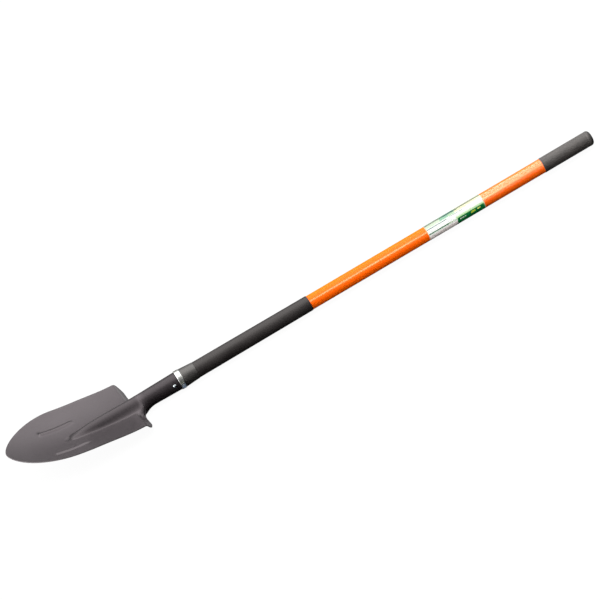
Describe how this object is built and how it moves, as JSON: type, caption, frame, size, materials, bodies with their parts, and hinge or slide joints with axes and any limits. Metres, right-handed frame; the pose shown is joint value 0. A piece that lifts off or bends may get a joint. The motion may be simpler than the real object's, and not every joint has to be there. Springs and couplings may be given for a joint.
{
  "type": "garden spade",
  "caption": "Round-nosed garden spade: pressed steel blade with foot treads and rolled socket, riveted to a straight fibreglass handle with black sleeve, label wrap and rubber end grip.",
  "frame": {"origin": "on the handle's axis, half way along the straight wall of the end grip", "axes": "+X along the handle towards the end grip (the blade is at -X), +Y across the blade, +Z the way the blade's face looks; the spade lies face up"},
  "size_m": [1.4006, 0.2176, 0.0761],
  "materials": {
    "blade_paint": "dark graphite powder coat, satin",
    "zinc_band": "zinc plated, bright",
    "rivet_steel": "bright",
    "washer_steel": "zinc plated",
    "collar_plastic": "moulded, matte",
    "sleeve_plastic": "extruded, semi-matte",
    "orange_fibreglass": "smooth glossy resin skin",
    "hardwood": "turned dowel",
    "label_film": "printed film, glossy",
    "grip_rubber": "fine cross texture, matte",
    "plug_wood": "turned dowel"
  },
  "bodies": {
    "root": {"blade": "blade_paint", "ferrule_ring": "zinc_band", "socket_rivet": "rivet_steel", "rivet_washer": "washer_steel", "socket_collar": "collar_plastic", "lower_sleeve": "sleeve_plastic", "shaft_tube": "orange_fibreglass", "core_plug": "hardwood", "label_wrap": "label_film", "end_grip": "grip_rubber", "end_plug": "plug_wood"}
  },
  "joints": []
}
